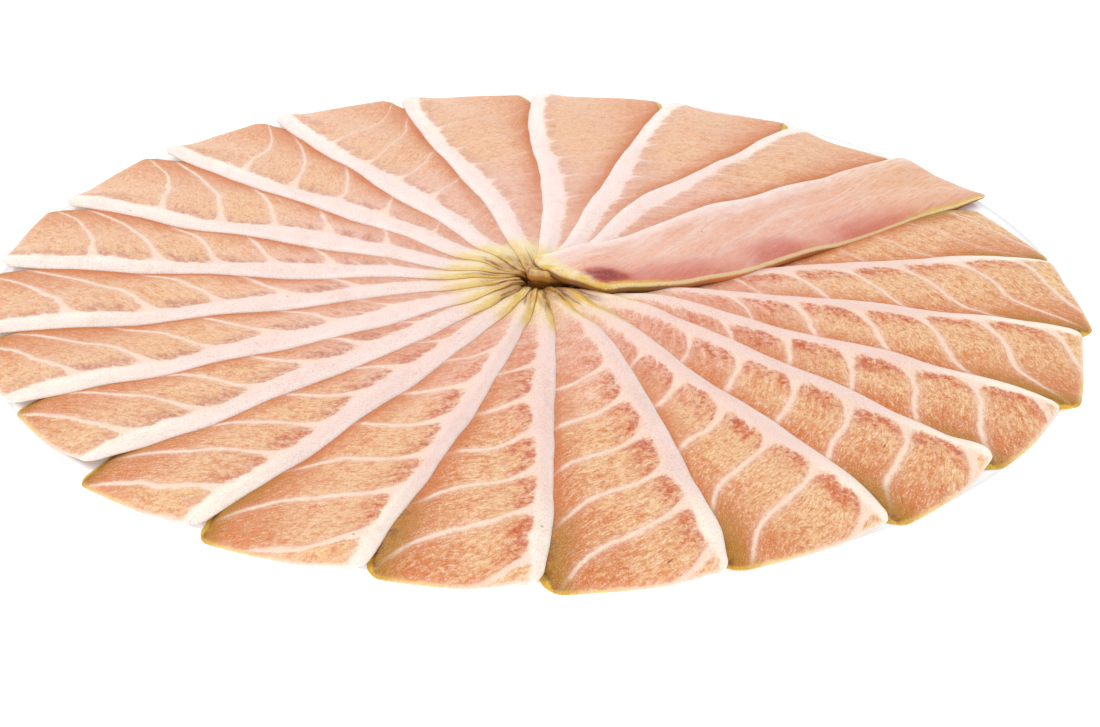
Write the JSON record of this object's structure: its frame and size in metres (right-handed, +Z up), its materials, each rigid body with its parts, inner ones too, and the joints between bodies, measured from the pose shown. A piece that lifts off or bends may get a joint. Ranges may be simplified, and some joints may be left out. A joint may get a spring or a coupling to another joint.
{
  "type": "smoked tuna carpaccio on a plate",
  "caption": "Very thin slices of smoked tuna fanned like a pinwheel over the whole of a flat round white plate.",
  "frame": {"origin": "centre of the plate's flat base, on the table", "axes": "+Z up, square to the plate; -Y is the diner's side; the slices overlap clockwise seen from above"},
  "size_m": [0.2708, 0.2736, 0.0201],
  "materials": {
    "plate": "white gloss glaze",
    "fish": "moist, slightly glossy"
  },
  "bodies": {
    "root": {"plate": "plate", "slice_00": "fish", "slice_01": "fish", "slice_02": "fish", "slice_03": "fish", "slice_04": "fish", "slice_05": "fish", "slice_06": "fish", "slice_07": "fish", "slice_08": "fish", "slice_09": "fish", "slice_10": "fish", "slice_11": "fish", "slice_12": "fish", "slice_13": "fish", "slice_14": "fish", "slice_15": "fish", "slice_16": "fish", "slice_17": "fish", "slice_18": "fish", "slice_19": "fish", "slice_20": "fish", "slice_21": "fish"}
  },
  "joints": []
}
